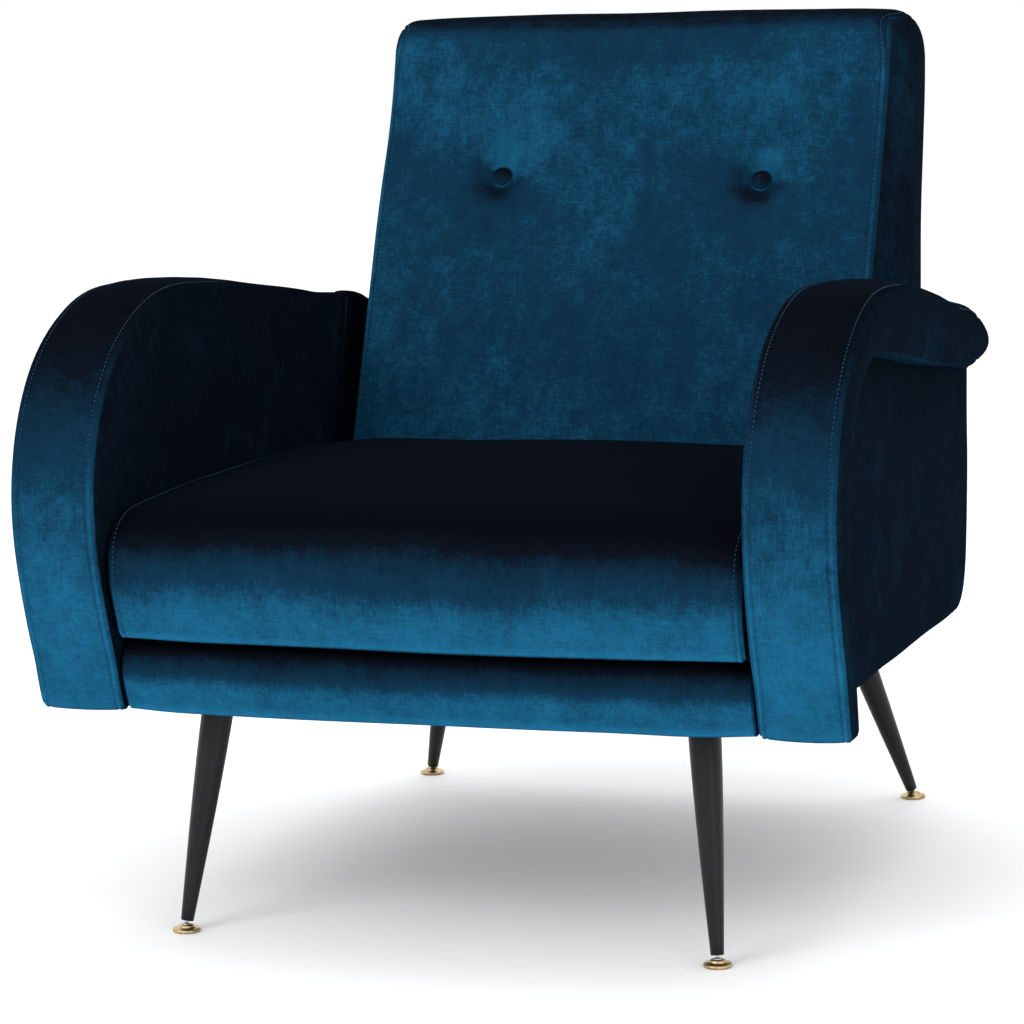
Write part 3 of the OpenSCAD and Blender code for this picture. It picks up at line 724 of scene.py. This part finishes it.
def make_frame_side(name, side, velvet):
    """The covered side of the seat's frame, seen below the arm, and the padded board that rises behind
    it and closes the gap between the arm and the back."""
    low = skirt_z / MM + 7
    rail_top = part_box("side_rail_right")[1].z / MM - 8
    loop = closed_loop(
        line((300, low), (-314, low)),
        bezier((-314, low), (-317, low), (-319, low + 2), (-319, low + 5), 4),
        line((-319, rail_top), (170, rail_top)),
        bezier((170, rail_top), (172, 330), (176, 420), (216, 532)),
        bezier((216, 532), (219, 541), (226, 545), (236, 544), 6),
        bezier((236, 544), (290, 539), (326, 520), (326, 478), 16),
        line((326, 478), (326, low + 30)),
        bezier((326, low + 30), (326, low + 8), (320, low), (300, low), 8))
    normal = outward(loop, True)
    radius = np.full(len(loop), PANEL_R)

    def inner(at):
        above = eased(at[:, 1], (rail_top - 4) * MM, (rail_top + 14) * MM)
        thin = above * (1 - eased(at[:, 0], 0.286, 0.302))
        return side * (FRAME_IN + (BOARD_IN - FRAME_IN) * thin) * MM

    def outer(at):
        return side * (FRAME_OUT + (BOARD_OUT - FRAME_OUT) * eased(at[:, 0], 0.10, 0.16)) * MM

    skin = Skin()
    band(skin, loop, normal, inner(loop), outer(loop), radius, radius, 0.8 * MM, 10 * MM, 4 * MM,
         (0, 0), True)
    for face, way in ((inner, -side), (outer, side)):
        panel(skin, loop, normal, face, way, radius, 0.5 * MM, 20 * MM, 7 * MM, glow=0)
    made = skin.piece("frame_side_" + name, velvet)
    soften(made, 0.6 * MM, 110 * MM, side + 40)
    finish_piece(made, fill=0.95)


# The seat, apron and back ---------------------------------------------------------------------

def body_skin(skin, loop, half, radius, crown, spread, bulge, side_spread, step, stitched=(1, 1)):
    """A padded body with one long sheet round the closed outline and a face on each side. half
    gives its half width at any points."""
    normal = outward(loop, True)
    x = half(loop)
    seams = band(skin, loop, normal, -x, x, radius, radius, crown, spread, step, stitched, True)
    panel_args = (radius, bulge, side_spread)
    for side in (-1, 1):
        panel(skin, loop, normal, lambda at: side * half(at), side, *panel_args)
    return seams


def visible_part(seams, shown):
    """The stretches of topstitch lines whose points pass a test."""
    kept = []
    for seam in seams:
        run = []
        for p in seam:
            if shown(p):
                run.append(p)
                continue
            if len(run) > 2:
                kept.append(run)
            run = []
        if len(run) > 2:
            kept.append(run)
    return kept


def closed_loop(*parts):
    whole = np.vstack(parts)
    return resample(np.vstack([whole, whole[:1]]))[:-1]


SEAT_HALF, SEAT_BULGE = 291 * MM, 3.5 * MM


def make_seat(velvet, thread):
    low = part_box("seat_foam")[0].z / MM
    loop = closed_loop(
        line((104, low), (-368, low)),
        bezier((-368, low), (-376, low), (-380, low + 2), (-382, low + 9), 5),
        bezier((-382, low + 9), (-389, 304), (-396, 318), (-396, 336), 12),
        bezier((-396, 336), (-396, 364), (-390, 388), (-350, 395), 16),
        bezier((-350, 395), (-250, 402), (0, 403), (140, 395), 20),
        line((158, 388), (150, 350)))
    radius = 4 * MM + 5 * MM * eased(loop[:, 1], 0.30, 0.39)
    on_top = eased(loop[:, 1], 0.30, 0.395) * (1 - eased(loop[:, 0], 0.10, 0.15))
    crown = 3 * MM + 5 * MM * on_top
    crown = np.where((loop[:, 1] < low * MM + 0.001), 0.0, crown)
    skin = Skin()

    def half(at):
        return SEAT_HALF + SEAT_BULGE * eased(at[:, 1], 0.29, 0.38)

    seams = body_skin(skin, loop, half, radius, crown, 48 * MM, 0.5 * MM, 25 * MM, 13 * MM)
    made = skin.piece("seat_cushion", velvet)
    swell(made, 3, 9 * MM, lambda p: p.z < low * MM + 6 * MM or p.y > 0.12)
    soften(made, 2.2 * MM, 130 * MM, 11)
    finish_piece(made, "seat_foam", "seat_cover", "seat_side_panel_left", "seat_side_panel_right", fill=0.8)
    seams = visible_part(seams, lambda p: p[2] > low * MM + 0.004 and p[1] < 0.14)
    sew("seat_stitches", seams, made, thread)


def make_apron(velvet):
    low = skirt_z / MM
    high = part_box("apron_cover")[1].z / MM
    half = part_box("apron_cover")[1].x
    loop = closed_loop(
        line((-322, low + 3), (-344, low)),
        bezier((-344, low), (-352, low), (-356, low + 2), (-358, low + 8), 6),
        bezier((-358, low + 8), (-363, low + 22), (-367, low + 28), (-367, low + 38), 10),
        bezier((-367, low + 38), (-366, high - 8), (-361, high), (-350, high), 8),
        line((-344, high), (-322, high)))
    skin = Skin()
    body_skin(skin, loop, lambda at: np.full(len(at), half), np.full(len(loop), 2 * MM), 2.5 * MM, 30 * MM,
              0.5 * MM, 20 * MM, 14 * MM, (0, 0))
    made = skin.piece("front_apron", velvet)
    soften(made, 1.5 * MM, 110 * MM, 23)
    finish_piece(made, "apron_foam", "apron_cover", fill=0.9)


BUTTON_OUT = Vector((0, -math.cos(math.radians(22.5)), math.sin(math.radians(22.5))))


def button_places():
    low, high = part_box("back_buttons")
    middle = (low + high) / 2
    x = high.x - (high.z - low.z) / 2 / math.cos(math.radians(22.5))
    return [Vector((s * x, middle.y, middle.z)) + Vector(shift) * MM
            for s, shift in zip(SIDES.values(), ((3.5, 1.2, 3.0), (1.5, -0.8, -2.0)))]


TOP_BELOW, REAR_INSIDE = 9, 2           # how far the back's outline lies inside the CAD box, in mm
BACK_HALF, BACK_SPREAD, SPREAD_OVER = 266 * MM, 12.5 * MM, 45 * MM


def make_back(velvet, thread):
    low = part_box("back_rear_cover")[0].z / MM
    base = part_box("seat_foam")[0].z / MM
    top = cad_box[1].z / MM - TOP_BELOW
    rear = cad_box[1].y / MM - REAR_INSIDE
    loop = closed_loop(
        line((368, low), (238, low), (234, low + 4), (234, base), (106, base)),
        bezier((106, base), (151.6, 411), (204.6, 545), (264, 680)),
        bezier((264, 680), (281.6, 720), (291.5, 760), (303, 800), 10),
        bezier((303, 800), (308, 820), (320, top), (340, top), 10),
        bezier((340, top), (352, top + 1), (362, top + 1), (374, top), 6),
        bezier((374, top), (398, top), (rear, 806), (rear, 772), 12),
        bezier((rear, 772), (rear, 720), (400, 640), (393, 540), 16),
        line((393, 540), (373, low + 5)))
    radius = VELVET_SEAM_R + 21 * MM * eased(loop[:, 1], 0.772, 0.826)
    front = loop[:, 0] < 0.31
    crown = np.where(front, 4 * MM, 2 * MM)
    crown = crown * eased(loop[:, 1], base * MM, base * MM + 0.03)
    skin = Skin()
    face = np.vstack([p for p in loop if p[0] < 0.31 and p[1] > base * MM])

    def half(at):
        behind = nearest(at, np.vstack([face, face[::-1]]))[0]
        return BACK_HALF + BACK_SPREAD * eased(behind, 0, SPREAD_OVER)

    seams = body_skin(skin, loop, half, radius, crown, 40 * MM, 3 * MM, 30 * MM, 8 * MM)
    made = skin.piece("back_cushion", velvet)
    swell(made, 2, 7 * MM, lambda p: p.z < base * MM + 0.02 or p.y > 0.37)
    soften(made, 2.0 * MM, 140 * MM, 31)
    press_buttons(made)
    finish_piece(made, "back_foam", "back_front_cover", "back_gusset_left", "back_gusset_right",
                 "back_rear_cover", "back_rear_board", fill=0.85)
    sew("back_stitches", visible_part(seams, lambda p: p[2] > 0.39 and p[1] < 0.36), made, thread)


def press_buttons(piece):
    """Pulls the front sheet in round each button, with faint pleats."""
    for centre in button_places():
        for v in piece.data.vertices:
            away = v.co - centre
            depth = away.dot(BUTTON_OUT)
            flat = away - BUTTON_OUT * depth
            r = flat.length
            if r > 0.12 or abs(depth) > 0.05:
                continue
            turn = math.atan2(flat.z, flat.x)
            pull = 12.5 * MM * math.exp(-(r / (22 * MM)) ** 3) + 6.5 * MM * math.exp(-(r / (50 * MM)) ** 2)
            pleat = 0.9 * MM * math.cos(7 * turn + 1) * math.exp(-((r - 24 * MM) / (14 * MM)) ** 2)
            v.co -= BUTTON_OUT * (pull + pleat)
    piece.data.update()


def make_buttons(velvet):
    for centre, name in zip(button_places(), SIDES):
        skin = Skin()
        profile = [(0, 0), (9.5, 0), (10.6, 1.2), (11.2, 2.6), (11.2, 3.8),
                   (10.6, 5.2), (9.3, 6.6), (7, 7.8), (4, 8.5), (0.01, 8.8)]
        rings = 40
        rows = [[(r * math.cos(a) * MM, r * math.sin(a) * MM, z * MM) for r, z in profile]
                for a in (2 * math.pi * k / rings for k in range(rings))]
        # painted highlight round the button's rim, given through the seam values
        rim = [2.5 if 10.5 < r < 11.3 else 0 for r, _ in profile]
        skin.grid(rows, True, rim * rings)
        made = skin.piece("button_" + name, velvet, weld=0.02 * MM)
        turn = BUTTON_OUT.to_track_quat("Z", "Y").to_matrix().to_4x4()
        made.data.transform(Matrix.Translation(centre - BUTTON_OUT * 4.5 * MM) @ turn)
        made.data.update()
        finish_piece(made, fill=0.95)
        if name == "left":
            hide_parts("back_buttons")


# Legs and glides ------------------------------------------------------------------------------

def lathe(name, profile, start, axis, material, rings=48):
    """A solid of revolution. profile is a list of (radius, height along the axis)."""
    skin = Skin()
    rows = [[(r * math.cos(a), r * math.sin(a), z) for r, z in profile]
            for a in (2 * math.pi * k / rings for k in range(rings))]
    skin.grid(rows, True)
    made = skin.piece(name, material, weld=0.01 * MM)
    turn = Vector(axis).to_track_quat("Z", "Y").to_matrix().to_4x4()
    made.data.transform(Matrix.Translation(start) @ turn)
    made.data.update()
    return made


BALL_Z = 5 * MM
LEG_TOP_Z = 219 * MM
TIP, TIP_R, TOP_R = 5 * MM, 5.9 * MM, 15 * MM


def leg_line(name):
    """The glide's ball and the joint's axis, which runs down the leg."""
    joints = {j["name"]: j for j in frame["joints"]}
    ball = Vector(joints["tilt_" + name]["pos_m"])
    return ball, -Vector(joints["level_" + name]["axis"])


def make_leg(name, paint):
    ball, axis = leg_line(name)
    length = (LEG_TOP_Z - ball.z) / axis.z
    profile = [(0.0, TIP), (TIP_R - 0.6 * MM, TIP), (TIP_R, TIP + 0.6 * MM)]
    for t in (k / 24 for k in range(1, 25)):
        r = TIP_R + (TOP_R - TIP_R) * (1.32 * t - 0.32 * t ** 3.2)
        profile.append((r, TIP + 0.6 * MM + t * (length - TIP - 4 * MM)))
    profile.append((0.0, profile[-1][1]))
    made = lathe("leg_" + name + "_tube", profile, ball, axis, paint)
    finish_piece(made, "leg_" + name, slot="black_leg_paint")


def make_glide(name, brass):
    ball, _ = leg_line(name)
    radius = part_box("glide_foot_" + name)[1].x - ball.x
    profile = [(0, 0), (radius - 1.8 * MM, 0), (radius - 0.7 * MM, 0.3 * MM)]
    profile += [(radius - 1.5 * MM + 1.5 * MM * math.cos(a), 2.0 * MM + 1.5 * MM * math.sin(a))
                for a in np.radians(np.arange(-45, 91, 15))]
    profile += [(r * MM, z * MM) for r, z in (
        (9.8, 3.7), (8.6, 4.0), (7.6, 4.5), (7.2, 5.2), (7.0, 5.9), (6.2, 6.5), (5.2, 6.9), (4.3, 7.0),
        (3.5, 6.8))]
    made = lathe("glide_" + name, profile, (ball.x, ball.y, 0), (0, 0, 1), brass)
    finish_piece(made, "glide_foot_" + name, body="foot_" + name, slot="aged_brass")


def dress_cad_nodes(paints):
    """Gives each CAD node that stays its material."""
    for node in frame["nodes"].values():
        if node.hide_render:
            continue
        slot = next(s["material_slot"] for s in frame["record"]["subparts"] if s["node"] == node.name)
        node.data.materials.clear()
        node.data.materials.append(paints[slot])


def make_floor():
    mesh = bpy.data.meshes.new("floor")
    corners = [(x * FLOOR_SIZE, y * FLOOR_SIZE, 0) for x, y in ((-1, -1), (1, -1), (1, 1), (-1, 1))]
    mesh.from_pydata(corners, [], [(0, 1, 2, 3)])
    floor = bpy.data.objects.new("floor", mesh)
    bpy.context.scene.collection.objects.link(floor)
    n = Nodes("floor", Roughness=0.7, Specular_IOR_Level=0.2)
    n.put(n.ramp(n.noise((3, 3, 3), 3), [(0.3, (0.93, 0.93, 0.93)), (0.7, (0.95, 0.95, 0.95))]),
          n.shader.inputs["Base Color"])
    mesh.materials.append(n.material)


make_camera()
make_studio()
# Copies of one velvet that differ only in painted light and shade: the arms' and frame sides', the seat's and
# apron's, the back's, and the buttons' darker one
velvet = velvet_painted_light_material("velvet", 0.0, 0.31, 0.34)
seat_velvet = velvet_painted_light_material("seat_velvet", 0.0, 0.205, 0.52)
back_velvet = velvet_painted_light_material("back_velvet", 0.13, 0.365, 0.20)
button_velvet = velvet_painted_light_material("button_velvet", 0.05, 0.16, 0.20)
thread = thread_material()
black_paint = leg_material()
brass = metal_material("aged_brass", (0.30, 0.20, 0.09), (0.62, 0.48, 0.26), 0.32, (160, 160, 160))
steel = metal_material("bright_steel", (0.42, 0.42, 0.43), (0.62, 0.62, 0.63), 0.3, (120, 120, 120))
wood = wood_material("frame_wood", (0.42, 0.27, 0.14), (0.68, 0.50, 0.31))
paints = {
    "velvet": velvet, "bright_steel": steel, "aged_brass": brass, "black_leg_paint": black_paint,
    "frame_wood": wood, "hardboard": wood_material("hardboard", (0.20, 0.12, 0.06), (0.34, 0.22, 0.13)),
    "foam": cloth_material("foam", (0.72, 0.64, 0.42), (0.88, 0.82, 0.62), 900),
    "webbing": cloth_material("webbing", (0.10, 0.08, 0.06), (0.32, 0.27, 0.22), 600),
    "black_cloth": cloth_material("black_cloth", (0.008, 0.008, 0.009), (0.03, 0.03, 0.033), 700),
    "twine": cloth_material("twine", (0.45, 0.40, 0.30), (0.75, 0.70, 0.60), 1500)}

for name, side in SIDES.items():
    make_arm(name, side, velvet, thread)
    make_frame_side(name, side, velvet)
make_seat(seat_velvet, thread)
make_apron(seat_velvet)
make_back(back_velvet, thread)
make_buttons(button_velvet)
for name in ("front_left", "front_right", "rear_left", "rear_right"):
    make_leg(name, black_paint)
    make_glide(name, brass)
dress_cad_nodes(paints)
make_floor()
